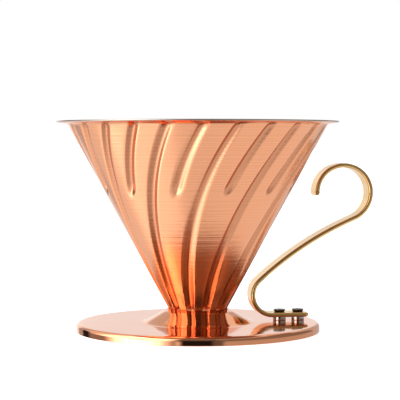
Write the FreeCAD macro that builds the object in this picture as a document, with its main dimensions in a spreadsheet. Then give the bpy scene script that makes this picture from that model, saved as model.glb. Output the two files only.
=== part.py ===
import FreeCAD, Part
import math
import os
import Sketcher

# Pour over dripper: a fluted sheet-metal cone with a turned-out rim, set in the raised centre of a
# round base plate, and a bent strap handle bolted to the plate on two spacers.
# Frame: origin on the cone's axis where the outlet ends, level with the surface the plate stands on;
# +Z up through the cone, +X towards the handle. Millimetres.

Vector = FreeCAD.Vector
document = FreeCAD.newDocument("PourOverDripper")

SIZES = {
    # Cone and rim
    "sheet": 0.6,               # thickness of the cone's sheet
    "neck_radius": 12.15,       # outer wall where the cone leaves the base plate
    "neck_height": 9.2,
    "cone_slope": 0.5425,       # growth of the radius per millimetre of height
    "outlet_radius": 9.2,       # inside of the straight outlet
    "outlet_ream": 0.1,         # taken off the pressed lip when the outlet is reamed round
    "rim_radius": 58.0,
    "rim_underside": 85.8,      # height of the rim's underside at its edge
    "rim_rise": 0.12,           # slope of the rim
    # Flutes, pressed inwards
    "flute_count": 12,          # long ones, with a short one between each pair
    "flute_depth": 1.35,
    "flute_width": 5.6,         # at the rim
    "flute_neck_width": 5.7,
    "flute_sweep": 32.2,        # degrees that a flute turns round the cone on its way up
    "flute_power": 1.49,        # how late in its rise it turns
    "flute_foot_angle": -113.0,
    "short_flute_foot": 56.0,   # height where the short flutes fade out
    # Base plate
    "plate_sheet": 0.8,
    "plate_radius": 50.2,
    "plate_top": 3.45,
    "plate_bend": 1.6,
    "hump_radius": 22.4,
    "hump_fillet": 1.5,
    "neck_clearance": 0.05,
    # Handle
    "strap_width": 10.0,
    "strap_sheet": 1.8,
    "strap_corner": 1.5,
    "foot_end": 46.0,           # reach of the strap's foot from the cone's axis
    "curl_reach": 30.8,         # centre of the lower curl
    "curl_radius": 8.3,
    "rise_radius": 142.4,       # the long gentle arc
    "loop_radius": 11.45,
    "loop_reach": 61.1,
    "loop_height": 56.6,
    "tip_height": 55.5,
    # Fasteners
    "inner_screw_reach": 34.5,
    "outer_screw_reach": 42.3,
    "screw_radius": 1.5,
    "screw_clearance": 0.15,
    "head_radius": 2.5,
    "head_foot_radius": 2.1,
    "head_height": 1.1,
    "drive_length": 2.6,
    "drive_width": 0.6,
    "drive_depth": 0.6,
    "spacer_radius": 2.7,
    "spacer_height": 1.65,
    "washer_radius": 3.5,
    "washer_sheet": 0.5,
    "nut_across_flats": 5.5,
    "nut_height": 1.8,
}


def make_sheet():
    """Put each size in its own cell under its name."""
    sheet = document.addObject("Spreadsheet::Sheet", "Sizes")
    for row, (name, value) in enumerate(SIZES.items(), start=1):
        sheet.set(f"A{row}", name)
        sheet.set(f"B{row}", str(value))
        sheet.setAlias(f"B{row}", name)
    document.recompute()
    return sheet


sizes = make_sheet()


def expression(text):
    """Write a formula on the sheet's names as FreeCAD spells it."""
    for name in sorted(SIZES, key=len, reverse=True):
        text = text.replace(f"<{name}>", f"Sizes.{name}")
    return text


def value_of(text):
    """Work out the same formula as a number."""
    return float(sizes.evalExpression(expression(text)))


def new_body(label):
    body = document.addObject("PartDesign::Body", label)
    body.Label = label
    return body


def origin_part(body, role):
    return next(part for part in body.Origin.OriginFeatures if part.Role == role)


def new_sketch(body, role, name, lift=None):
    """Sketch on one of the body's own planes, raised by a formula if given."""
    sketch = body.newObject("Sketcher::SketchObject", name)
    sketch.AttachmentSupport = [(origin_part(body, role), "")]
    sketch.MapMode = "FlatFace"
    if lift:
        sketch.setExpression("AttachmentOffset.Base.z", expression(lift))
    document.recompute()
    return sketch


def pin_point(sketch, curve, end, across, up):
    """Hold one end of a curve at two formulas, measured from the sketch's origin."""
    for kind, axis, text in (("DistanceX", -2, across), ("DistanceY", -1, up)):
        if text == "0":
            sketch.addConstraint(Sketcher.Constraint("PointOnObject", curve, end, axis))
            continue
        row = sketch.addConstraint(Sketcher.Constraint(kind, -1, 1, curve, end, value_of(text)))
        sketch.setExpression(f"Constraints[{row}]", expression(text))


def draw_outline(sketch, corners):
    """Closed outline of straight lines, each corner a pair of formulas."""
    points = [Vector(value_of(across), value_of(up), 0) for across, up in corners]
    first = sketch.GeometryCount
    for here, there in zip(points, points[1:] + points[:1]):
        sketch.addGeometry(Part.LineSegment(here, there), False)
    count = len(points)
    for step, (across, up) in enumerate(corners):
        before = first + (step - 1) % count
        sketch.addConstraint(Sketcher.Constraint("Coincident", before, 2, first + step, 1))
        pin_point(sketch, first + step, 1, across, up)


def draw_circle(sketch, across, radius):
    """Circle whose centre is on the sketch's own horizontal axis."""
    circle = sketch.addGeometry(
        Part.Circle(Vector(value_of(across), 0, 0), Vector(0, 0, 1), value_of(radius)), False)
    pin_point(sketch, circle, 3, across, "0")
    row = sketch.addConstraint(Sketcher.Constraint("Radius", circle, value_of(radius)))
    sketch.setExpression(f"Constraints[{row}]", expression(radius))


def revolve(body, sketch):
    feature = body.newObject("PartDesign::Revolution", sketch.Name + "_turned")
    feature.Profile = sketch
    feature.ReferenceAxis = (sketch, ["V_Axis"])
    feature.Angle = 360
    document.recompute()
    return feature


def extrude(body, sketch, length, kind="PartDesign::Pad"):
    feature = body.newObject(kind, sketch.Name + "_run")
    feature.Profile = sketch
    feature.setExpression("Length", expression(length))
    document.recompute()
    return feature


def cut_through(body, sketch):
    """Cut the sketch's shapes right through, and make sure that something went."""
    before = body.Shape.Volume
    pocket = body.newObject("PartDesign::Pocket", sketch.Name + "_cut")
    pocket.Profile = sketch
    pocket.Type = "ThroughAll"
    pocket.Midplane = True
    document.recompute()
    if body.Shape.Volume >= before:
        raise RuntimeError(sketch.Name + " cut nothing")
    return pocket


def round_edges(body, chosen, radius):
    """Fillet those edges of the body's last feature for which chosen(edge) is true."""
    base = body.Tip
    names = [f"Edge{row}" for row, edge in enumerate(base.Shape.Edges, start=1) if chosen(edge)]
    feature = body.newObject("PartDesign::Fillet", base.Name + "_rounded")
    feature.Base = (base, names)
    feature.setExpression("Radius", expression(radius))
    document.recompute()
    return feature


def ring_near(radius, height, reach=0.3):
    """Chooses a full circular edge about the axis by its radius and height."""
    def chosen(edge):
        box = edge.BoundBox
        return (abs(box.XMax - radius) < reach and abs(box.YMax - radius) < reach
                and abs(box.ZMax - height) < reach and box.ZLength < 1e-6)
    return chosen


# ---- Funnel ---------------------------------------------------------------------------------------

def ease(share):
    """Smooth step from 0 to 1."""
    share = min(max(share, 0.0), 1.0)
    return share * share * (3 - 2 * share)


def flute_angle(height):
    """Direction, in degrees, of a long flute's bottom line at a height."""
    full_rise = sizes.rim_underside - sizes.neck_height
    share = max(height - sizes.neck_height, 0.0) / full_rise
    return sizes.flute_foot_angle + sizes.flute_sweep * share ** sizes.flute_power


def flute_half_angles(height, radius):
    """Half the angle that a long flute takes up at a height, and what is left there for a short one."""
    share = min(max(height - sizes.neck_height, 0.0) / (sizes.rim_underside - sizes.neck_height), 1.0)
    width = sizes.flute_neck_width + (sizes.flute_width - sizes.flute_neck_width) * share
    pitch = 180.0 / sizes.flute_count
    long_half = min(math.degrees(width / 2 / radius), 0.8 * pitch)
    return long_half, min(long_half, 0.92 * pitch - long_half)


def funnel_rows(inset):
    """Upward row of (radius, height, flute share, short flute share) on a skin inset from the outside."""
    slant = math.hypot(1.0, sizes.cone_slope)
    lip_radius = sizes.outlet_radius + (sizes.sheet if inset == 0 else -sizes.outlet_ream)

    def wall(height):
        return (sizes.neck_radius + (height - sizes.neck_height) * sizes.cone_slope - inset * slant)

    lip_top = sizes.neck_height + (lip_radius - sizes.neck_radius + inset * slant) / sizes.cone_slope
    # The rim's skin rises in a straight line to the rim's edge, and meets the wall's at a corner.
    rim_edge_height = sizes.rim_underside + inset
    corner = ((wall(0.0) + (rim_edge_height - sizes.rim_rise * sizes.rim_radius) * sizes.cone_slope)
              / (1 - sizes.rim_rise * sizes.cone_slope))
    corner_height = rim_edge_height - sizes.rim_rise * (sizes.rim_radius - corner)
    rows = [(lip_radius, lip_top * share, 0.0, 0.0) for share in (-0.08, 0.08, 0.5, 0.86)]
    wall_foot = lip_top + 0.8
    wall_top = corner_height - 0.9
    fade = sizes.short_flute_foot
    heights = [wall_foot, wall_foot + 1.2, wall_foot + 2.6, 0.35 * fade, 0.62 * fade, 0.85 * fade,
               fade - 1.0, fade + 1.0, fade + 3.0, fade + 6.0, fade + 17.0, wall_top - 4.0, wall_top]
    for height in heights:
        fade_in = ease((height - wall_foot) / 2.0)
        short_fade = ease((height - fade) / 4.5)
        rows.append((wall(height), height, fade_in, short_fade))
    rows.append((corner, corner_height, 0.4, 0.4))
    for reach in (1.0, 2.8):
        radius = corner + reach
        rows.append((radius, corner_height + sizes.rim_rise * reach, 0.0, 0.0))
    # Between its columns the skin runs a little inside the control points.
    skin_shrink = 0.09
    edge = sizes.rim_radius + skin_shrink
    rows.append((edge - 0.15, rim_edge_height - 0.15 * sizes.rim_rise, 0.0, 0.0))
    rows.append((edge, rim_edge_height + (0.05 if inset == 0 else -0.05), 0.0, 0.0))
    return rows


def funnel_poles():
    """Closed grid of control points: up the outside, over the rim and down the inside, all the way round."""
    across = (-1.0, -0.5, 0.0, 0.5, 1.0)
    pitch = 180.0 / sizes.flute_count
    loop = funnel_rows(0.0) + funnel_rows(sizes.sheet)[::-1]
    poles = []
    for radius, height, long_share, short_share in loop:
        start = flute_angle(height)
        long_half, short_half = flute_half_angles(height, radius)
        tilt = math.atan(sizes.cone_slope)
        ring = []
        for flute in range(2 * int(sizes.flute_count)):
            share, half, next_half = long_share, long_half, short_half
            if flute % 2:
                share, half, next_half = short_share, short_half, long_half
            centre = start + pitch * flute
            lands = [((half + pitch - next_half) / 2, 0.0)]
            dips = [(half * place, math.cos(place * math.pi / 2) ** 2) for place in across]
            for offset, dip in dips + lands:
                depth = sizes.flute_depth * share * dip
                angle = math.radians(centre + offset)
                out = radius - depth * math.cos(tilt)
                ring.append(Vector(out * math.cos(angle), out * math.sin(angle),
                                   height + depth * math.sin(tilt)))
        poles.append(ring)
    return poles


def make_funnel():
    """Pressed sheet cone with flutes, turned-out rim and straight outlet: one skin closed on itself."""
    poles = funnel_poles()
    rows, columns = len(poles), len(poles[0])
    skin = Part.BSplineSurface()
    skin.buildFromPolesMultsKnots(
        poles, [1] * (rows + 1), [1] * (columns + 1), list(range(rows + 1)), list(range(columns + 1)),
        True, True, 3, 3)
    # The skin is cut along its own lines into an outside and an inside patch for each long flute.
    patches = []
    patch_columns = columns / int(sizes.flute_count)
    for first_row, last_row in ((0, rows / 2), (rows / 2, rows)):
        for flute in range(int(sizes.flute_count)):
            patch = skin.copy()
            patch.segment(first_row, last_row, patch_columns * flute, patch_columns * (flute + 1))
            patches.append(patch.toShape())
    shell = Part.makeShell(patches)
    shell.sewShape()
    solid = Part.Solid(shell)
    if solid.Volume < 0:
        solid.reverse()
    # The outlet's end is faced off level with the table, then reamed round.
    below = Vector(0, 0, -sizes.neck_height)
    facing = Part.makeCylinder(sizes.neck_radius, sizes.neck_height, below)
    reamer = Part.makeCylinder(sizes.outlet_radius, 2 * sizes.neck_height, below)
    solid = solid.cut(facing).cut(reamer).Solids[0]
    funnel = document.addObject("Part::Feature", "funnel")
    funnel.Label = "funnel"
    funnel.Shape = solid
    funnel.Placement = FreeCAD.Placement()
    return funnel


# ---- Base plate -----------------------------------------------------------------------------------

def make_base_plate():
    """Shallow pressed pan: a turned-down edge, a flat face and a raised centre that seats the cone."""
    body = new_body("base_plate")
    sketch = new_sketch(body, "XZ_Plane", "plate_section")
    hole = "<neck_radius> + <neck_clearance>"
    hump_slope = "((<neck_height> - <plate_top>) / (<hump_radius> - <neck_radius>))"
    drop = f"(<plate_sheet> * sqrt(1 + {hump_slope}^2))"
    under_hole = f"{hole} - ({drop} + <neck_clearance>) * <cone_slope>"
    under_height = f"<neck_height> - {drop}"
    hump_foot_under = f"<hump_radius> - ({drop} - <plate_sheet>) / {hump_slope}"
    draw_outline(sketch, [
        (hole, "<neck_height>"),
        ("<hump_radius>", "<plate_top>"),
        ("<plate_radius>", "<plate_top>"),
        ("<plate_radius>", "0"),
        ("<plate_radius> - <plate_sheet>", "0"),
        ("<plate_radius> - <plate_sheet>", "<plate_top> - <plate_sheet>"),
        (hump_foot_under, "<plate_top> - <plate_sheet>"),
        (under_hole, under_height),
    ])
    revolve(body, sketch)
    top = sizes.plate_top
    inside = sizes.plate_radius - sizes.plate_sheet
    round_edges(body, ring_near(sizes.plate_radius, top), "<plate_bend>")
    round_edges(body, ring_near(inside, top - sizes.plate_sheet), "<plate_bend> - <plate_sheet>")
    round_edges(body, ring_near(sizes.hump_radius, top), "<hump_fillet>")
    holes = new_sketch(body, "XY_Plane", "screw_holes")
    for reach in ("<inner_screw_reach>", "<outer_screw_reach>"):
        draw_circle(holes, reach, "<screw_radius> + <screw_clearance>")
    cut_through(body, holes)
    return body


# ---- Handle ---------------------------------------------------------------------------------------

def meet_circles(first, first_radius, second, second_radius):
    """The lower right of the two points that are at given distances from two centres."""
    gap = second - first
    along = (gap.Length ** 2 + first_radius ** 2 - second_radius ** 2) / (2 * gap.Length)
    aside = math.sqrt(first_radius ** 2 - along ** 2)
    direction = Vector(gap).normalize()
    return first + direction * along + Vector(direction.y, -direction.x, 0) * aside


def draw_handle_path(sketch):
    """Foot, lower curl, long rise and loop, each tangent to the next, seen from the side."""
    foot_height = value_of("<plate_top> + <spacer_height> + <strap_sheet> / 2")
    curl = Vector(sizes.curl_reach, foot_height + sizes.curl_radius, 0)
    loop = Vector(sizes.loop_reach, sizes.loop_height, 0)
    rise = meet_circles(curl, sizes.rise_radius - sizes.curl_radius,
                        loop, sizes.rise_radius + sizes.loop_radius)
    curl_end = rise + (curl - rise).normalize() * sizes.rise_radius
    rise_end = rise + (loop - rise).normalize() * sizes.rise_radius
    tip_turn = math.asin((sizes.tip_height - sizes.loop_height) / sizes.loop_radius)
    loop_start_turn = math.atan2(rise_end.y - loop.y, rise_end.x - loop.x)
    curl_end_turn = math.atan2(curl_end.y - curl.y, curl_end.x - curl.x)
    rise_low_turn = math.atan2(curl_end.y - rise.y, curl_end.x - rise.x)
    rise_high_turn = math.atan2(rise_end.y - rise.y, rise_end.x - rise.x)
    up = Vector(0, 0, 1)

    foot = sketch.addGeometry(Part.LineSegment(
        Vector(sizes.foot_end, foot_height, 0), Vector(sizes.curl_reach, foot_height, 0)), False)
    curl_arc = sketch.addGeometry(Part.ArcOfCircle(
        Part.Circle(curl, up, sizes.curl_radius), curl_end_turn, 1.5 * math.pi), False)
    rise_arc = sketch.addGeometry(Part.ArcOfCircle(
        Part.Circle(rise, up, sizes.rise_radius), rise_high_turn, rise_low_turn), False)
    loop_arc = sketch.addGeometry(Part.ArcOfCircle(
        Part.Circle(loop, up, sizes.loop_radius), loop_start_turn, math.pi - tip_turn), False)

    foot_formula = "<plate_top> + <spacer_height> + <strap_sheet> / 2"
    pin_point(sketch, foot, 1, "<foot_end>", foot_formula)
    pin_point(sketch, foot, 2, "<curl_reach>", foot_formula)
    pin_point(sketch, loop_arc, 3, "<loop_reach>", "<loop_height>")
    sketch.addConstraint(Sketcher.Constraint("Tangent", foot, 2, curl_arc, 2))
    sketch.addConstraint(Sketcher.Constraint("Tangent", curl_arc, 1, rise_arc, 2))
    sketch.addConstraint(Sketcher.Constraint("Tangent", rise_arc, 1, loop_arc, 1))
    arcs = ((curl_arc, "<curl_radius>"), (rise_arc, "<rise_radius>"), (loop_arc, "<loop_radius>"))
    for arc, radius in arcs:
        row = sketch.addConstraint(Sketcher.Constraint("Radius", arc, value_of(radius)))
        sketch.setExpression(f"Constraints[{row}]", expression(radius))
    row = sketch.addConstraint(Sketcher.Constraint("DistanceY", -1, 1, loop_arc, 2, sizes.tip_height))
    sketch.setExpression(f"Constraints[{row}]", expression("<tip_height>"))
    document.recompute()


def make_handle():
    """Flat strap bent into a foot, a curl under, a long rise and an open loop for the finger."""
    body = new_body("handle")
    path = new_sketch(body, "XZ_Plane", "handle_path")
    draw_handle_path(path)
    section = new_sketch(body, "YZ_Plane", "strap_section", "<foot_end>")
    under = "<plate_top> + <spacer_height>"
    over = "<plate_top> + <spacer_height> + <strap_sheet>"
    left, right = "-<strap_width> / 2", "<strap_width> / 2"
    draw_outline(section, [(left, under), (right, under), (right, over), (left, over)])
    pipe = body.newObject("PartDesign::AdditivePipe", "strap_run")
    pipe.Profile = section
    pipe.Spine = (path, [f"Edge{row}" for row in range(1, 5)])
    pipe.Mode = "Standard"
    document.recompute()

    def end_corner(edge):
        return (abs(edge.Length - sizes.strap_sheet) < 0.01 and edge.BoundBox.YLength < 0.01)

    round_edges(body, end_corner, "<strap_corner>")
    holes = new_sketch(body, "XY_Plane", "strap_holes")
    for reach in ("<inner_screw_reach>", "<outer_screw_reach>"):
        draw_circle(holes, reach, "<screw_radius> + <screw_clearance>")
    pocket = extrude(body, holes, over, "PartDesign::Pocket")
    pocket.Reversed = True
    document.recompute()
    return body


# ---- Fasteners ------------------------------------------------------------------------------------

def turned_ring(label, outer, inner, foot, height):
    """Plain ring about a screw's axis, standing at a height."""
    body = new_body(label)
    sketch = new_sketch(body, "XZ_Plane", label + "_section")
    top = f"{foot} + {height}"
    draw_outline(sketch, [(inner, foot), (outer, foot), (outer, top), (inner, top)])
    revolve(body, sketch)
    return body


def make_screw(label):
    """Low cheese-headed screw with a cross recess, its shank reaching through the nut."""
    body = new_body(label)
    section = new_sketch(body, "XZ_Plane", label + "_section")
    seat = "<plate_top> + <spacer_height> + <strap_sheet>"
    head_top = f"{seat} + <head_height>"
    shank_end = "<plate_top> - <plate_sheet> - <washer_sheet> - <nut_height>"
    draw_outline(section, [
        ("0", shank_end), ("<screw_radius>", shank_end), ("<screw_radius>", seat),
        ("<head_foot_radius>", seat), ("<head_radius>", head_top), ("0", head_top),
    ])
    revolve(body, section)
    half, slot = "<drive_length> / 2", "<drive_width> / 2"
    for turn in ("along", "across"):
        recess = new_sketch(body, "XY_Plane", f"{label}_{turn}", head_top)
        wide, deep = (half, slot) if turn == "along" else (slot, half)
        draw_outline(recess, [
            ("-" + wide, "-" + deep), (wide, "-" + deep), (wide, deep), ("-" + wide, deep),
        ])
        before = body.Shape.Volume
        extrude(body, recess, "<drive_depth>", "PartDesign::Pocket")
        if body.Shape.Volume >= before:
            raise RuntimeError(recess.Name + " cut nothing")
    return body


def make_nut(label):
    """Thin hexagon nut under the plate."""
    body = new_body(label)
    foot = "<plate_top> - <plate_sheet> - <washer_sheet> - <nut_height>"
    sketch = new_sketch(body, "XY_Plane", label + "_outline", foot)
    flat = "<nut_across_flats> / 2"
    point = "<nut_across_flats> / sqrt(3)"
    half_point = "<nut_across_flats> / (2 * sqrt(3))"
    draw_outline(sketch, [
        (point, "0"), (half_point, flat), ("-" + half_point, flat),
        ("-" + point, "0"), ("-" + half_point, "-" + flat), (half_point, "-" + flat),
    ])
    draw_circle(sketch, "0", "<screw_radius>")
    extrude(body, sketch, "<nut_height>")
    return body


def make_fasteners():
    """The same stack twice: screw, strap, spacer, plate, washer and nut."""
    pieces = []
    under_plate = "<plate_top> - <plate_sheet> - <washer_sheet>"
    for side in ("inner", "outer"):
        hole = "<screw_radius> + <screw_clearance>"
        stack = [
            make_screw(f"{side}_handle_screw"),
            turned_ring(f"{side}_spacer", "<spacer_radius>", hole, "<plate_top>", "<spacer_height>"),
            turned_ring(f"{side}_washer", "<washer_radius>", hole, under_plate, "<washer_sheet>"),
            make_nut(f"{side}_nut"),
        ]
        for body in stack:
            body.setExpression("Placement.Base.x", expression(f"<{side}_screw_reach>"))
        pieces += stack
    return pieces


pieces = [make_funnel(), make_base_plate(), make_handle()] + make_fasteners()
document.recompute()

for item in document.Objects:
    if "Invalid" in item.State or "Error" in item.State:
        raise RuntimeError(f"{item.Label}: {item.State}")
os.makedirs("parts", exist_ok=True)
for piece in pieces:
    shape = piece.Shape
    if shape.isNull() or not shape.isValid() or len(shape.Solids) != 1:
        raise RuntimeError(f"{piece.Label} is not one sound solid")
    shape.exportStep(f"parts/{piece.Label}.step")
    box = shape.BoundBox
    print(f"{piece.Label}: {shape.Volume:.1f} mm3, x {box.XMin:.2f} {box.XMax:.2f}, "
          f"y {box.YMin:.2f} {box.YMax:.2f}, z {box.ZMin:.2f} {box.ZMax:.2f}")
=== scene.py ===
import math

import bmesh
import bpy
from mathutils import Matrix, Vector


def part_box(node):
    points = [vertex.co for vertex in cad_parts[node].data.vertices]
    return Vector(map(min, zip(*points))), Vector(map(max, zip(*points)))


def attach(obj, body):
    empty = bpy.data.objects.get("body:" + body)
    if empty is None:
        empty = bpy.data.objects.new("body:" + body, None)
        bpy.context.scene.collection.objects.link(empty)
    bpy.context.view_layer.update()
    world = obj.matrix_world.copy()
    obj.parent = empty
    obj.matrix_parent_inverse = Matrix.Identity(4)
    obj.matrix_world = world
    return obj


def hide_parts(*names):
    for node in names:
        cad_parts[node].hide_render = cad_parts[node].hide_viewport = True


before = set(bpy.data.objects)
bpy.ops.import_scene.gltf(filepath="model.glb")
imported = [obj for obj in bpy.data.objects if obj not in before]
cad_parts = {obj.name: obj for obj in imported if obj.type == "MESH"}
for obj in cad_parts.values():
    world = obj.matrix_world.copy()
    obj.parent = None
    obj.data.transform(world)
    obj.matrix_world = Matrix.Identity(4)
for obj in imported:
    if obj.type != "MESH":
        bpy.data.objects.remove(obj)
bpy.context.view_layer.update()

# --- Base plate ------------------------------------------------------------------------------------
# One disc of polished copper sheet, pressed with a raised cone in the middle to seat the funnel and
# with its edge turned down so that it stands clear of a cup's rim.
MM = 0.001

plate_low, plate_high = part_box("base_plate")
plate_radius = plate_high[0]
plate_top = 3.45 * MM
plate_sheet = 0.8 * MM
plate_bend = 1.6 * MM
plate_corner = 0.12 * MM
seat_height = plate_high[2]
seat_radius = 12.2 * MM
lip_across = 0.1 * MM
lip_down = 0.12 * MM
hump_radius = 22.4 * MM
hump_fillet = 8.0 * MM


def arc(centre, radius, start, end, steps):
    """Points (radius, height) along an arc, its angles in degrees from the outward direction."""
    turns = [math.radians(start + (end - start) * step / steps) for step in range(steps + 1)]
    return [(centre[0] + radius * math.cos(turn), centre[1] + radius * math.sin(turn)) for turn in turns]


def add_piece(name, bm):
    """Put a finished mesh into the scene as an object of its own."""
    mesh = bpy.data.meshes.new(name)
    bm.to_mesh(mesh)
    bm.free()
    piece = bpy.data.objects.new(name, mesh)
    bpy.context.collection.objects.link(piece)
    return piece


def turn_on_axis(name, outline, steps, centre=(0.0, 0.0)):
    """Spin an outline of (radius, height) points about an upright axis into a solid piece.
    The outline closes on itself, unless it starts and ends on the axis."""
    bm = bmesh.new()
    verts = [bm.verts.new((radius, 0.0, height)) for radius, height in outline]
    for here, there in zip(verts, verts[1:]):
        bm.edges.new((here, there))
    if outline[0][0] > 0:
        bm.edges.new((verts[-1], verts[0]))
    bmesh.ops.spin(bm, geom=bm.verts[:] + bm.edges[:], cent=(0, 0, 0), axis=(0, 0, 1),
                   angle=math.tau, steps=steps, use_merge=True)
    bmesh.ops.remove_doubles(bm, verts=bm.verts[:], dist=1e-7)
    bmesh.ops.recalc_face_normals(bm, faces=bm.faces[:])
    bmesh.ops.translate(bm, vec=(centre[0], centre[1], 0.0), verts=bm.verts[:])
    for face in bm.faces:
        face.smooth = True
    return add_piece(name, bm)


def plate_outline():
    """The sheet's section, from the seat's lip out to the turned-down edge and back underneath."""
    slope = math.atan2(seat_height - plate_top, hump_radius - seat_radius)
    flat_start = hump_radius + hump_fillet * math.tan(slope / 2)
    flat_end = plate_radius - plate_bend
    top = [(seat_radius, seat_height - lip_down), (seat_radius + lip_across, seat_height)]
    for share in (0.25, 0.5, 0.75):
        top.append((seat_radius + (hump_radius - seat_radius) * share,
                    seat_height - (seat_height - plate_top) * share))
    top += arc((flat_start, plate_top + hump_fillet), hump_fillet, -90 - math.degrees(slope), -90, steps=12)
    top += [(flat_start + (flat_end - flat_start) * share, plate_top) for share in (0.3, 0.6, 0.9)]
    top += arc((flat_end, plate_top - plate_bend), plate_bend, 90, 0, steps=8)
    # Two points near the foot keep the upright band's shading flat down to its corner.
    edge = [(plate_radius, 1.0 * MM), (plate_radius, 0.3 * MM)]
    corner_height = plate_low[2] + plate_corner
    edge += arc((plate_radius - plate_corner, corner_height), plate_corner, 0, -90, steps=4)
    inner = plate_radius - plate_sheet
    edge += arc((inner + plate_corner, corner_height), plate_corner, -90, -180, steps=4)
    inside_bend = plate_bend - plate_sheet
    bend_height = plate_top - plate_sheet - inside_bend
    under = arc((inner - inside_bend, bend_height), inside_bend, 0, 90, steps=4)
    under.append((hump_radius + 0.3 * MM, plate_top - plate_sheet))
    under.append((seat_radius - 0.4 * MM, seat_height - 0.93 * MM))
    return top + edge + under


class NodeSet:
    """Adds nodes to one node tree. Each socket is given a number, a colour or another's output."""

    def __init__(self, tree):
        self.tree = tree

    def feed(self, socket, value):
        if isinstance(value, bpy.types.NodeSocket):
            self.tree.links.new(value, socket)
        else:
            socket.default_value = value

    def add(self, kind, sockets, **settings):
        made = self.tree.nodes.new(kind)
        for setting, value in settings.items():
            setattr(made, setting, value)
        for socket, value in sockets.items():
            self.feed(made.inputs[socket], value)
        return made

    def calculate(self, operation, *values):
        return self.add("ShaderNodeMath", dict(enumerate(values)), operation=operation).outputs["Value"]

    def rescale(self, value, spread, onto, smooth=False):
        """Carry a value that runs over one spread onto another, evenly or with eased ends."""
        sockets = {"Value": value, "From Min": spread[0], "From Max": spread[1]}
        sockets.update({"To Min": onto[0], "To Max": onto[1]})
        kind = "SMOOTHSTEP" if smooth else "LINEAR"
        return self.add("ShaderNodeMapRange", sockets, interpolation_type=kind).outputs["Result"]

    def blend(self, share, first, second):
        sockets = {"Factor": share, "A": first, "B": second}
        return self.add("ShaderNodeMix", sockets, data_type="RGBA").outputs["Result"]

    def apart(self, vector):
        return self.add("ShaderNodeSeparateXYZ", {"Vector": vector}).outputs

    def grain(self, place, scale, detail=2.0):
        sockets = {"Vector": place, "Scale": scale, "Detail": detail}
        return self.add("ShaderNodeTexNoise", sockets).outputs["Fac"]

    def rings(self, height, scale, detail=2.0, roughness=0.5):
        """Grain that changes with the height alone, as a lathe tool leaves it."""
        sockets = {"W": height, "Scale": scale, "Detail": detail, "Roughness": roughness}
        return self.add("ShaderNodeTexNoise", sockets, noise_dimensions="1D").outputs["Fac"]

    def relief(self, height, depth):
        sockets = {"Height": height, "Strength": 1.0, "Distance": depth}
        return self.add("ShaderNodeBump", sockets).outputs["Normal"]


def new_metal(name):
    """A new material, with its node set, its shader set to metal, and the place on the piece."""
    material = bpy.data.materials.new(name)
    material.use_nodes = True
    nodes = NodeSet(material.node_tree)
    shader = material.node_tree.nodes["Principled BSDF"]
    shader.inputs["Metallic"].default_value = 1.0
    place = nodes.add("ShaderNodeTexCoord", {}).outputs["Object"]
    return material, nodes, shader, place


def polished_copper():
    """Mirror copper: clear reflections, with faint wipe marks and the last of the press's waviness."""
    material, nodes, shader, place = new_metal("polished_copper")
    shader.inputs["Base Color"].default_value = (0.93, 0.40, 0.21, 1)
    smudge = nodes.grain(place, scale=90, detail=5)
    nodes.feed(shader.inputs["Roughness"], nodes.rescale(smudge, (0.35, 0.75), onto=(0.045, 0.11)))
    waves = nodes.grain(place, scale=55, detail=1)
    nodes.feed(shader.inputs["Normal"], nodes.relief(waves, depth=0.12 * MM))
    return material


base_plate = turn_on_axis("base_plate_sheet", plate_outline(), 360)
base_plate.data.materials.append(polished_copper())
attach(base_plate, "root")
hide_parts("base_plate")

# --- Funnel ----------------------------------------------------------------------------------------
# A cone spun from copper sheet on a lathe, which leaves fine rings, then pressed with twelve long
# flutes and twelve short ones that sweep round it; its mouth is turned out into a narrow rim.
_, funnel_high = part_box("funnel")
rim_radius = funnel_high[0]
rim_top = funnel_high[2]
wall_sheet = 0.6 * MM
neck_radius = 12.15 * MM
neck_height = 9.2 * MM
wall_slope = 0.5425
outlet_radius = 9.2 * MM
rim_underside = rim_top - wall_sheet
rim_rise = 0.12
rim_bend = 1.9 * MM
rim_edge = 0.3 * MM
flute_count = 12
flute_depth = 1.35 * MM
flute_width = 5.6 * MM
flute_neck_width = 5.7 * MM
flute_foot = 5.4 * MM
flute_foot_fade = 3.4 * MM
flute_top = rim_underside - 0.3 * MM
flute_top_fade = 1.8 * MM
short_flute_foot = 60.4 * MM
short_flute_point = 0.6
flute_foot_angle = -113.0
flute_sweep = 32.2
flute_power = 1.49
columns_per_flute = 18
column_crowding = 2.6


def wall_radius(height, inset=0.0):
    return neck_radius + (height - neck_height) * wall_slope - inset * math.hypot(1.0, wall_slope)


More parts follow.
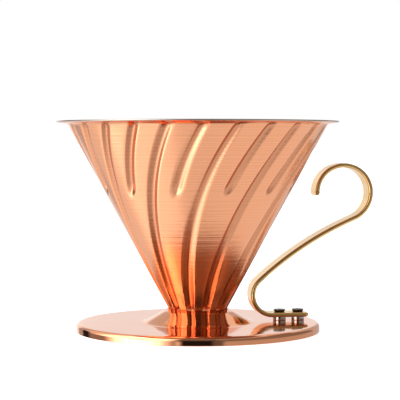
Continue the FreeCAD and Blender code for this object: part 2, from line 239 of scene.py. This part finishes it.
def funnel_outline():
    """The sheet's section: up the outside, over the rim's edge and down the inside."""
    rim_tilt = math.degrees(math.atan(rim_rise))
    wall_tilt = math.degrees(math.atan(1 / wall_slope))
    outside, inside = [], []
    for skin, inset in ((outside, 0.0), (inside, wall_sheet)):
        edge_height = rim_underside + inset
        corner_radius = ((wall_radius(0.0, inset) + (edge_height - rim_rise * rim_radius) * wall_slope)
                         / (1 - rim_rise * wall_slope))
        corner_height = edge_height - rim_rise * (rim_radius - corner_radius)
        bend = rim_bend - inset
        reach = bend * math.tan(math.radians(wall_tilt - rim_tilt) / 2)
        bend_start = corner_height - reach * math.sin(math.radians(wall_tilt))
        lip_radius = outlet_radius + wall_sheet - inset
        lip_top = neck_height + (lip_radius - wall_radius(neck_height, inset)) / wall_slope
        skin += [(lip_radius, lip_top * share) for share in (0.06, 0.5, 1.0)]
        rows = 84
        for row in range(1, rows):
            height = lip_top + (bend_start - lip_top) * row / rows
            skin.append((wall_radius(height, inset), height))
        start = Vector((wall_radius(bend_start, inset), bend_start))
        outward = Vector((math.sin(math.radians(wall_tilt)), -math.cos(math.radians(wall_tilt))))
        skin += arc(start + outward * bend, bend, 90 + wall_tilt, 90 + rim_tilt, steps=6)
        skin.append((rim_radius - rim_edge, edge_height - rim_edge * rim_rise))
    edge_middle = (rim_radius - wall_sheet / 2, rim_underside + wall_sheet / 2)
    edge = arc(edge_middle, wall_sheet / 2, -80, 80, steps=4)
    return outside + edge + inside[::-1]


def share_of_wall(height):
    """How far up the fluted wall a height is, from 0 at the neck to 1 under the rim."""
    return max(height - neck_height, 0.0) / (rim_underside - neck_height)


def flute_angle(height):
    """Direction, in degrees, of the first long flute's bottom line."""
    return flute_foot_angle + flute_sweep * share_of_wall(height) ** flute_power


def ease(share):
    share = min(max(share, 0.0), 1.0)
    return share * share * (3 - 2 * share)


def press_flutes(mesh):
    """Gather the spun sheet's columns along the flutes, then press each flute inwards. The part's
    own map keeps how deep each point was pressed, and its height, for the material's painted shade to use."""
    pressed = {}
    pitch = 180.0 / flute_count
    tilt = math.atan(wall_slope)
    inward = Vector((-math.cos(tilt), math.sin(tilt)))
    for vert in mesh.vertices:
        radius = math.hypot(vert.co.x, vert.co.y)
        height = vert.co.z
        share = min(share_of_wall(height), 1.0)
        half_width = (flute_neck_width + (flute_width - flute_neck_width) * share) / 2
        column = math.degrees(math.atan2(vert.co.y, vert.co.x)) / pitch
        flute = math.floor(column + 0.5)
        place = column - flute
        # The narrower a flute is here, the closer its columns stand, so that it never has too few.
        crowd = min(1.0, column_crowding * math.degrees(half_width / radius) / pitch)
        place *= crowd + (1 - crowd) * (2 * abs(place)) ** 2
        aside = math.radians(place * pitch) * radius
        if flute % 2:
            # Below 1 the factor draws the end out to a longer, softer point than a half circle.
            beyond = max(short_flute_foot - height, 0.0) * short_flute_point
            aside = math.hypot(aside, beyond)
        offset = min(abs(aside) / half_width, 1.0)
        profile = (1 - offset * offset) ** 2
        top_fade = ease((flute_top - height) / flute_top_fade)
        foot_fade = ease((height - flute_foot) / flute_foot_fade)
        depth = flute_depth * profile * top_fade * foot_fade
        pressed[vert.index] = (depth / flute_depth, height / rim_top)
        radius += inward.x * depth
        height += inward.y * depth
        angle = math.radians(flute_angle(vert.co.z) + (flute + place) * pitch)
        vert.co = (radius * math.cos(angle), radius * math.sin(angle), height)
    flute_map = mesh.uv_layers.new(name="flute_map")
    for loop in mesh.loops:
        flute_map.data[loop.index].uv = pressed[loop.vertex_index]
    mesh.update()


def satin_copper():
    """Lathe-turned copper: a satin sheen over rings finer than a hair, with painted shade darkening the
    colour in the flutes and towards the neck, and bare grey on the cut edge."""
    material, nodes, shader, place = new_metal("satin_copper")
    shader.inputs["Roughness"].default_value = 0.22
    along = nodes.apart(place)
    flute_map = nodes.add("ShaderNodeUVMap", {}, uv_map="flute_map").outputs["UV"]
    depth_share, height_share, _ = nodes.apart(flute_map)

    # Painted shade: the colour darkens with a flute's depth, in place of the shade its walls cast on each
    # other.
    flute_shade = nodes.rescale(depth_share, (0.02, 0.35), onto=(0.0, 1.0), smooth=True)
    tone = nodes.blend(flute_shade, (0.95, 0.43, 0.235, 1), (0.70, 0.31, 0.17, 1))
    # Painted shade: the colour darkens and reddens towards the neck, most in the flutes, in place of the
    # dim light bounced there between cone and plate.
    neck_shade = nodes.rescale(height_share, (0.14, 0.46), onto=(0.9, 0.0), smooth=True)
    neck_shade_flute_weight = nodes.rescale(depth_share, (0.0, 0.3), onto=(0.5, 1.0))
    tone = nodes.blend(nodes.calculate("MULTIPLY", neck_shade, neck_shade_flute_weight), tone, (0.66, 0.21, 0.085, 1))
    ring_tone = nodes.rescale(nodes.rings(along["Z"], scale=2600), (0.3, 0.7), onto=(0.92, 1.03))
    ringed = nodes.add("ShaderNodeVectorMath", {"Vector": tone, "Scale": ring_tone}, operation="SCALE")

    flat = nodes.add("ShaderNodeCombineXYZ", {"X": along["X"], "Y": along["Y"]}).outputs["Vector"]
    reach = nodes.add("ShaderNodeVectorMath", {0: flat}, operation="LENGTH").outputs["Value"]
    at_edge = nodes.rescale(reach, (rim_radius - rim_edge, rim_radius - 0.1 * MM), onto=(0.0, 1.0))
    tone = nodes.blend(at_edge, ringed.outputs["Vector"], (0.42, 0.38, 0.34, 1))
    nodes.feed(shader.inputs["Base Color"], tone)

    rings = nodes.rings(along["Z"], scale=900, detail=5, roughness=0.7)
    nodes.feed(shader.inputs["Normal"], nodes.relief(rings, depth=0.06 * MM))
    return material


funnel = turn_on_axis("funnel_sheet", funnel_outline(), 2 * flute_count * columns_per_flute)
press_flutes(funnel.data)
funnel.data.materials.append(satin_copper())
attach(funnel, "root")
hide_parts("funnel")

# --- Spacers ---------------------------------------------------------------------------------------
# Two short rings turned from steel, one round each screw. They lift the handle's foot off the plate
# and are clamped between the two by the screws.
screw_hole = 1.6 * MM
spacer_corner = 0.15 * MM


def make_ring(name, low, high, corner):
    """A ring that fills its box, with a clearance hole for a screw and its outer corners broken."""
    centre = ((low[0] + high[0]) / 2, 0.0)
    outer = (high[0] - low[0]) / 2 - corner
    outline = [(screw_hole, low[2])]
    outline += arc((outer, low[2] + corner), corner, -90, 0, steps=3)
    outline += arc((outer, high[2] - corner), corner, 0, 90, steps=3)
    outline += [(screw_hole, high[2])]
    return turn_on_axis(name, outline, 64, centre)


def glossy_metal(name, colour, grain_scale, roughness, detail=2.0):
    """A plain metal whose gloss varies a little over a fine grain."""
    material, nodes, shader, place = new_metal(name)
    shader.inputs["Base Color"].default_value = colour
    grain = nodes.grain(place, grain_scale, detail)
    nodes.feed(shader.inputs["Roughness"], nodes.rescale(grain, (0.0, 1.0), onto=roughness))
    return material


steel = glossy_metal("bright_steel", (0.66, 0.64, 0.62, 1), grain_scale=2500, roughness=(0.1, 0.24))
for side in ("inner", "outer"):
    low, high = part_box(f"{side}_spacer")
    spacer = make_ring(f"{side}_spacer_ring", low, high, spacer_corner)
    spacer.data.materials.append(steel)
    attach(spacer, "root")
    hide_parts(f"{side}_spacer")

# --- Handle ----------------------------------------------------------------------------------------
# A flat brass strap with a smooth sheen, bent cold over formers into a foot, a curl under, a long
# rise and an open loop for the finger; the real foot is drilled for the two screws, but no holes are cut
# here.
handle_low, handle_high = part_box("handle")
strap_width = handle_high[1] - handle_low[1]
strap_sheet = 1.8 * MM
strap_corner = 1.5 * MM
strap_edge = 0.75 * MM
foot_end = 46.0 * MM
foot_height = 6.0 * MM
curl_centre = Vector((30.8, 14.3)) * MM
curl_radius = 8.3 * MM
rise_radius = 142.4 * MM
loop_centre = Vector((61.1, 56.6)) * MM
loop_radius = 11.45 * MM
tip_height = 55.5 * MM


def rise_centre():
    """Centre of the long arc, which the curl meets from inside and the loop from outside."""
    near, far = rise_radius - curl_radius, rise_radius + loop_radius
    gap = loop_centre - curl_centre
    along = (gap.length ** 2 + near ** 2 - far ** 2) / (2 * gap.length)
    aside = math.sqrt(near ** 2 - along ** 2)
    onward = gap.normalized()
    return curl_centre + onward * along + Vector((onward.y, -onward.x)) * aside


def carry_end(bm, end, centre, turn, steps):
    """Bend the strap's open end round a centre by an angle, and return the new end."""
    spun = bmesh.ops.spin(bm, geom=[end], cent=(centre[0], 0, centre[1]), axis=(0, -1, 0),
                          angle=turn, steps=steps)
    bmesh.ops.delete(bm, geom=[end], context="FACES_ONLY")
    return next(item for item in spun["geom_last"] if isinstance(item, bmesh.types.BMFace))


def direction(centre, point):
    return math.atan2(point[1] - centre[1], point[0] - centre[0])


def make_handle():
    """Draw the strap out from its foot's end: foot, curl, rise and loop, then round its edges."""
    middle = rise_centre()
    curl_end = middle + (curl_centre - middle).normalized() * rise_radius
    rise_end = middle + (loop_centre - middle).normalized() * rise_radius
    tip_turn = math.pi - math.asin((tip_height - loop_centre[1]) / loop_radius)
    bm = bmesh.new()
    corners = [(foot_end, side * strap_width / 2, foot_height + up * strap_sheet / 2)
               for side, up in ((-1, -1), (1, -1), (1, 1), (-1, 1))]
    foot = bm.faces.new([bm.verts.new(corner) for corner in corners])
    drawn = bmesh.ops.extrude_face_region(bm, geom=[foot])["geom"]
    end = next(item for item in drawn if isinstance(item, bmesh.types.BMFace))
    bmesh.ops.translate(bm, vec=(curl_centre[0] - foot_end, 0, 0), verts=end.verts[:])
    curl_turn = -math.pi / 2 - (direction(curl_centre, curl_end) - math.tau)
    end = carry_end(bm, end, curl_centre, -curl_turn, steps=22)
    rise_turn = direction(middle, curl_end) - direction(middle, rise_end)
    end = carry_end(bm, end, middle, -rise_turn, steps=20)
    loop_turn = tip_turn - direction(loop_centre, rise_end)
    end = carry_end(bm, end, loop_centre, loop_turn, steps=44)
    longest = 1.1 * strap_sheet
    upright = [edge for cap in (foot, end) for edge in cap.edges if edge.calc_length() < longest]
    bmesh.ops.bevel(bm, geom=upright, offset=strap_corner, affect="EDGES", segments=6, profile=0.5,
                    material=-1)
    least_angle = 0.7
    sharp = [edge for edge in bm.edges
             if len(edge.link_faces) == 2 and edge.calc_face_angle(0) > least_angle]
    bmesh.ops.bevel(bm, geom=sharp, offset=strap_edge, affect="EDGES", segments=6, profile=0.5,
                    material=-1)
    bmesh.ops.recalc_face_normals(bm, faces=bm.faces[:])
    for face in bm.faces:
        face.smooth = True
    piece = add_piece("handle_strap", bm)
    weighting = piece.modifiers.new("flat_faces_stay_flat", "WEIGHTED_NORMAL")
    weighting.keep_sharp = True
    weighting.weight = 90
    return piece


handle = make_handle()
brass = glossy_metal("smooth_brass", (0.84, 0.53, 0.20, 1), grain_scale=700, roughness=(0.15, 0.26),
                     detail=4)
handle.data.materials.append(brass)
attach(handle, "root")
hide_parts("handle")

# --- Handle screws ---------------------------------------------------------------------------------
# Two dark-nickelled machine screws with low heads that widen towards the top and a cross recess;
# they go down through the strap, a spacer and the plate.
shank_radius = 1.5 * MM
shank_point = 0.2 * MM
head_radius = 2.5 * MM
head_foot_radius = 2.1 * MM
head_foot_corner = 0.1 * MM
head_height = 1.1 * MM
head_corner = 0.15 * MM
recess_length = 2.6 * MM
recess_width = 0.6 * MM
recess_depth = 0.6 * MM


def screw_outline(low, high):
    """From the point on the axis, up the shank and the head's side, to the middle of its top."""
    seat = high - head_height
    shank = [(0.0, low), (shank_radius - shank_point, low)]
    shank += [(shank_radius, low + shank_point), (shank_radius, seat)]
    head = [(head_foot_radius - head_foot_corner, seat), (head_foot_radius, seat + head_foot_corner)]
    head += arc((head_radius - head_corner, high - head_corner), head_corner, -10, 90, steps=4)
    return shank + head + [(0.0, high)]


def cut_cross(piece, centre, top):
    """Sink a cross recess into the head's flat top."""
    bm = bmesh.new()
    for long_way in ((recess_length, recess_width), (recess_width, recess_length)):
        made = bmesh.ops.create_cube(bm, size=1.0)["verts"]
        bmesh.ops.scale(bm, vec=(long_way[0], long_way[1], 2 * recess_depth), verts=made)
        bmesh.ops.translate(bm, vec=(centre[0], centre[1], top), verts=made)
    cutter = add_piece("recess_cutter", bm)
    carve = piece.modifiers.new("recess", "BOOLEAN")
    carve.operation = "DIFFERENCE"
    carve.object = cutter
    carve.use_self = True
    bpy.context.view_layer.update()
    carved = bpy.data.meshes.new_from_object(piece.evaluated_get(bpy.context.evaluated_depsgraph_get()))
    piece.modifiers.clear()
    piece.data = carved
    bpy.data.objects.remove(cutter)


nickel = glossy_metal("dark_nickel", (0.075, 0.06, 0.05, 1), grain_scale=1800, roughness=(0.16, 0.34))
for side in ("inner", "outer"):
    low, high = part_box(f"{side}_handle_screw")
    centre = ((low[0] + high[0]) / 2, 0.0)
    screw = turn_on_axis(f"{side}_screw", screw_outline(low[2], high[2]), 64, centre)
    cut_cross(screw, centre, high[2])
    screw.data.materials.append(nickel)
    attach(screw, "root")
    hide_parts(f"{side}_handle_screw")

# --- Washers and nuts ------------------------------------------------------------------------------
# Under the plate each screw has a thin flat washer and a low hexagon nut, both bright steel, which
# stay above the table because the plate's edge is turned down further than they reach.
washer_corner = 0.1 * MM
nut_corner = 0.15 * MM


def make_nut(name, low, high):
    """A hexagon nut that fills its box, bored for the shank, with its outer edges broken."""
    centre = Vector(((low[0] + high[0]) / 2, 0.0))
    bm = bmesh.new()
    bmesh.ops.create_circle(bm, segments=6, radius=(high[0] - low[0]) / 2)
    bmesh.ops.create_circle(bm, segments=36, radius=shank_radius)
    quarter_turn = Matrix.Rotation(math.radians(90), 3, "Z")
    bmesh.ops.rotate(bm, cent=(0, 0, 0), matrix=quarter_turn, verts=bm.verts[:])
    bmesh.ops.bridge_loops(bm, edges=bm.edges[:])
    raised = bmesh.ops.extrude_face_region(bm, geom=bm.faces[:])["geom"]
    bmesh.ops.translate(bm, vec=(0, 0, high[2] - low[2]),
                        verts=[item for item in raised if isinstance(item, bmesh.types.BMVert)])
    bmesh.ops.translate(bm, vec=(centre.x, 0, low[2]), verts=bm.verts[:])
    bmesh.ops.recalc_face_normals(bm, faces=bm.faces[:])
    least_angle = 0.6
    bore_clear = 2 * MM
    outside = []
    for edge in bm.edges:
        reach = max((vert.co.xy - centre).length for vert in edge.verts)
        if edge.calc_face_angle(0) > least_angle and reach > bore_clear:
            outside.append(edge)
    bmesh.ops.bevel(bm, geom=outside, offset=nut_corner, affect="EDGES", segments=2, profile=0.5,
                    material=-1)
    return add_piece(name, bm)


for side in ("inner", "outer"):
    low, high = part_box(f"{side}_washer")
    washer = make_ring(f"{side}_washer_ring", low, high, washer_corner)
    washer.data.materials.append(steel)
    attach(washer, "root")
    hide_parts(f"{side}_washer")

    low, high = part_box(f"{side}_nut")
    nut = make_nut(f"{side}_nut_hex", low, high)
    nut.data.materials.append(steel)
    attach(nut, "root")
    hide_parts(f"{side}_nut")

# --- Studio ----------------------------------------------------------------------------------------
# A white table in a room that the camera sees as white. For the metal's bright and dark bands, soft
# lights stand on the left and a grey screen on the right, under a dark ceiling, and black cards
# stand round the camera.
handle_turn = math.radians(9.0)

bm = bmesh.new()
bmesh.ops.create_grid(bm, x_segments=1, y_segments=1, size=20.0)
floor = add_piece("floor", bm)
floor.visible_glossy = False
paper = bpy.data.materials.new("white_table")
paper.use_nodes = True
shader = paper.node_tree.nodes["Principled BSDF"]
shader.inputs["Base Color"].default_value = (0.8, 0.8, 0.8, 1)
shader.inputs["Roughness"].default_value = 0.9
shader.inputs["Emission Color"].default_value = (1, 1, 1, 1)
shader.inputs["Emission Strength"].default_value = 0.75
floor.data.materials.append(paper)

world = bpy.data.worlds.new("white_room")
world.use_nodes = True
bpy.context.scene.world = world
room = NodeSet(world.node_tree)
sight = room.add("ShaderNodeTexCoord", {}).outputs["Generated"]
face_camera = room.add("ShaderNodeVectorRotate", {"Vector": sight, "Angle": handle_turn},
                       rotation_type="Z_AXIS")
across, away, upward = room.apart(face_camera.outputs["Vector"])
towards = room.calculate("MULTIPLY", away, -1.0)
around = room.calculate("MULTIPLY", room.calculate("ARCTAN2", across, towards), math.degrees(1))
up = room.calculate("MULTIPLY", room.calculate("ARCSINE", upward), math.degrees(1))


def band(value, start, end, soft):
    """Two factors that together are 1 between two limits, and fade to 0 past each of them."""
    rising = room.rescale(value, (start - soft, start + soft), onto=(0.0, 1.0), smooth=True)
    falling = room.rescale(value, (end - soft, end + soft), onto=(1.0, 0.0), smooth=True)
    return rising, falling


def lay_panel(light, sides, heights, level, soft=5.0, sideways=5.0):
    """Lay a soft-edged panel of one brightness over the room. Its sides are in degrees round from
    the camera, to the right, and its heights in degrees up from level."""
    mask = room.calculate("MULTIPLY", *band(around, sides[0], sides[1], sideways))
    for fade in band(up, heights[0], heights[1], soft):
        mask = room.calculate("MULTIPLY", mask, fade)
    change = room.calculate("SUBTRACT", level, light)
    return room.calculate("ADD", light, room.calculate("MULTIPLY", mask, change))


# Each panel lies over those before it, on walls that are nearly white.
light = 0.93
# The table under the part, and the ceiling.
light = lay_panel(light, (-181, 181), (-95, -66), 0.65)
light = lay_panel(light, (-181, 181), (59, 95), 0.05)
# The far wall's cards, on the left and then on the right.
light = lay_panel(light, (-174, -148), (18, 44), 0.65, soft=4.0, sideways=3.0)
light = lay_panel(light, (-174, -150), (-10, 16), 1.15, soft=4.0, sideways=3.0)
light = lay_panel(light, (-151, -139), (-22, 30), 0.45, soft=5.0, sideways=3.0)
light = lay_panel(light, (140, 168), (-14, 30), 0.55)
# The grey screen on the right, paler at its foot.
light = lay_panel(light, (12, 138), (-12, 52), 0.25)
light = lay_panel(light, (12, 138), (-16, -2), 0.56, soft=4.0)
# The lit table on the left and the dim strip behind it, then the lights that stand there: a low
# one, a broad high one with its hottest part at the top, a gap between them, and a pool below.
light = lay_panel(light, (-112, -33), (-66, -20), 1.35, soft=8.0)
light = lay_panel(light, (-124, -20), (-20, 3), 0.3, soft=3.0, sideways=3.0)
light = lay_panel(light, (-82, -36), (-20, 3), 5.0, soft=3.0, sideways=18.0)
light = lay_panel(light, (-104, -26), (2, 56), 3.0, soft=2.0, sideways=12.0)
light = lay_panel(light, (-84, -70), (46, 57), 6.5, soft=2.0, sideways=4.0)
light = lay_panel(light, (-61, -43), (-1, 7), 0.3, soft=2.0, sideways=4.0)
light = lay_panel(light, (-100, -58), (-35, -18), 2.9)
# A black card beyond the lights.
light = lay_panel(light, (-138, -121), (-16, 16), 0.02, soft=3.0, sideways=4.0)
# The dark wall behind the camera, and the black cards round it.
light = lay_panel(light, (-22, 24), (0, 80), 0.25)
light = lay_panel(light, (-16, 20), (0, 40), 0.13, soft=4.0)
light = lay_panel(light, (10, 24), (-14, 4), 0.15, soft=4.0, sideways=3.0)
light = lay_panel(light, (-16, 14), (-14, 12), 0.015, soft=4.0, sideways=3.0)

direct = room.add("ShaderNodeLightPath", {}).outputs["Is Camera Ray"]
light = room.calculate("MULTIPLY", light, room.calculate("SUBTRACT", 1.0, direct))
light = room.calculate("ADD", light, direct)
background = world.node_tree.nodes["Background"]
room.feed(background.inputs["Strength"], light)
room.feed(background.inputs["Color"], (1, 1, 1, 1))

# The camera stands a little to the left of square to the handle, level with the cone's upper part.
stand_off = 0.6008
camera_height = 0.0773
camera_dip = 2.24
camera_swing = -0.088
camera = bpy.data.cameras.new("camera")
camera.sensor_width = 36.0
camera.lens = 131.07
camera.clip_start = 0.01
viewer = bpy.data.objects.new("camera", camera)
viewer.location = (-stand_off * math.sin(handle_turn), -stand_off * math.cos(handle_turn), camera_height)
viewer.rotation_euler = (math.radians(90 - camera_dip), 0, -handle_turn + math.radians(camera_swing))
bpy.context.collection.objects.link(viewer)
bpy.context.scene.camera = viewer
bpy.context.scene.view_settings.view_transform = "Standard"
